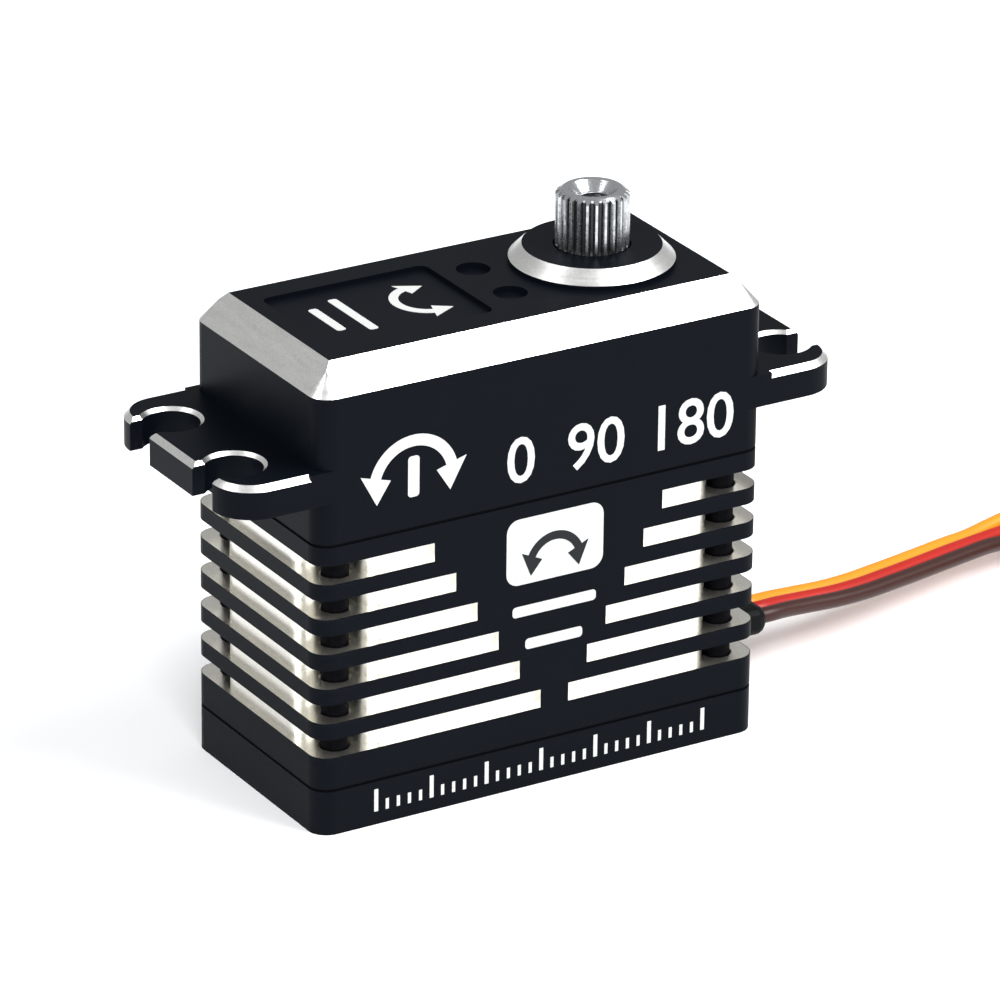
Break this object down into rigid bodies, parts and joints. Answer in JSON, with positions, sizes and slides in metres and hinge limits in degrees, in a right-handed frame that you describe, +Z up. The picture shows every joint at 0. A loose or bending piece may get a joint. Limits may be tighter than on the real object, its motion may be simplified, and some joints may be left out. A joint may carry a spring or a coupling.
{
  "type": "hobby servo motor",
  "caption": "Rectangular metal-cased servo with two mounting ears, finned middle case, geared splined output shaft and a coiled three-wire lead with a plug.",
  "frame": {"origin": "middle of the case's underside", "axes": "+Z up along the output shaft, +X towards the end of the case nearer the output shaft, +Y to the back"},
  "size_m": [0.1171, 0.0272, 0.045],
  "materials": {
    "black_anodised": "satin black anodised, bright machined bevels",
    "gasket_rubber": "matt black",
    "black_screw": "black oxide",
    "gear_steel": "ground hardened steel",
    "bearing_steel": "polished",
    "brass": "machined",
    "motor_steel": "zinc plated",
    "motor_aluminium": "turned",
    "lamination": "stacked laminations",
    "copper_winding": "enamelled copper",
    "magnet": "ground magnet",
    "sensor_plastic": "moulded",
    "wiper_plastic": "moulded",
    "gold_plate": "gold plated",
    "circuit_board": "green solder mask",
    "chip_plastic": "moulded",
    "capacitor_sleeve": "blue sleeve",
    "orange_wire": "satin insulation",
    "red_wire": "satin insulation",
    "brown_wire": "satin insulation",
    "stub_wire": "satin insulation",
    "grommet_rubber": "matt black",
    "tie_nylon": "black nylon",
    "plug_plastic": "moulded black"
  },
  "bodies": {
    "case": {"upper_case": "black_anodised", "middle_case": "black_anodised", "bottom_cover": "black_anodised", "upper_gasket": "gasket_rubber", "lower_gasket": "gasket_rubber", "case_screws": "black_screw", "shaft_seal": "gasket_rubber", "upper_bearing_outer": "bearing_steel", "lower_bearing_outer": "bearing_steel", "gear_pin_rear": "gear_steel", "gear_pin_front": "gear_steel", "motor_can": "motor_steel", "motor_front_bell": "motor_aluminium", "motor_rear_bell": "motor_aluminium", "stator_core": "lamination", "stator_coils": "copper_winding", "motor_front_bearing": "bearing_steel", "motor_rear_bearing": "bearing_steel", "motor_screws": "gear_steel", "motor_terminals": "gold_plate", "sensor_housing": "sensor_plastic", "sensor_terminals": "gold_plate", "main_board": "circuit_board", "driver_chips": "chip_plastic", "control_chip": "chip_plastic", "capacitor": "capacitor_sleeve", "lead_stubs": "stub_wire", "cable_grommet": "grommet_rubber", "signal_wire": "orange_wire", "power_wire": "red_wire", "ground_wire": "brown_wire", "signal_coil": "orange_wire", "power_coil": "red_wire", "ground_coil": "brown_wire", "signal_tail": "orange_wire", "power_tail": "red_wire", "ground_tail": "brown_wire", "coil_tie": "tie_nylon", "plug_housing": "plug_plastic", "plug_contacts": "gold_plate"},
    "rotor": {"motor_shaft": "gear_steel", "motor_pinion": "brass", "rotor_magnet": "magnet"},
    "gear_one": {"first_gear": "brass"},
    "gear_two": {"second_gear": "gear_steel"},
    "gear_three": {"third_gear": "gear_steel"},
    "output": {"output_shaft": "gear_steel", "output_gear": "gear_steel", "sensor_wiper": "wiper_plastic", "upper_bearing_inner": "bearing_steel", "lower_bearing_inner": "bearing_steel"},
    "balls": {"upper_bearing_balls": "bearing_steel", "lower_bearing_balls": "bearing_steel"}
  },
  "joints": [
    {"name": "rotor_spin", "type": "hinge", "parent": "case", "child": "rotor", "pos_m": [-0.0041, 0, 0.02], "axis": [0, 0, 1], "range_deg": [-8064, 8064]},
    {"name": "first_gear_spin", "type": "hinge", "parent": "case", "child": "gear_one", "pos_m": [0.001, 0.00282, 0.027], "axis": [0, 0, 1], "range_deg": [-2881.44, 2881.44]},
    {"name": "second_gear_spin", "type": "hinge", "parent": "case", "child": "gear_two", "pos_m": [0.001, -0.00282, 0.03], "axis": [0, 0, 1], "range_deg": [-960.48, 960.48]},
    {"name": "third_gear_spin", "type": "hinge", "parent": "case", "child": "gear_three", "pos_m": [0.001, 0.00282, 0.033], "axis": [0, 0, 1], "range_deg": [-320.16, 320.16]},
    {"name": "output_spin", "type": "hinge", "parent": "case", "child": "output", "pos_m": [0.01015, 0, 0.034], "axis": [0, 0, 1], "range_deg": [-90.05, 90.05]},
    {"name": "ball_roll", "type": "hinge", "parent": "case", "child": "balls", "pos_m": [0.01015, 0, 0.034], "axis": [0, 0, 1], "range_deg": [-39.4, 39.4]}
  ],
  "couplings": [
    {"joint": "first_gear_spin", "follows": "rotor_spin", "ratio": -0.35714},
    {"joint": "second_gear_spin", "follows": "rotor_spin", "ratio": 0.11905},
    {"joint": "third_gear_spin", "follows": "rotor_spin", "ratio": -0.039683},
    {"joint": "output_spin", "follows": "rotor_spin", "ratio": 0.011161},
    {"joint": "ball_roll", "follows": "rotor_spin", "ratio": 0.0048828}
  ]
}
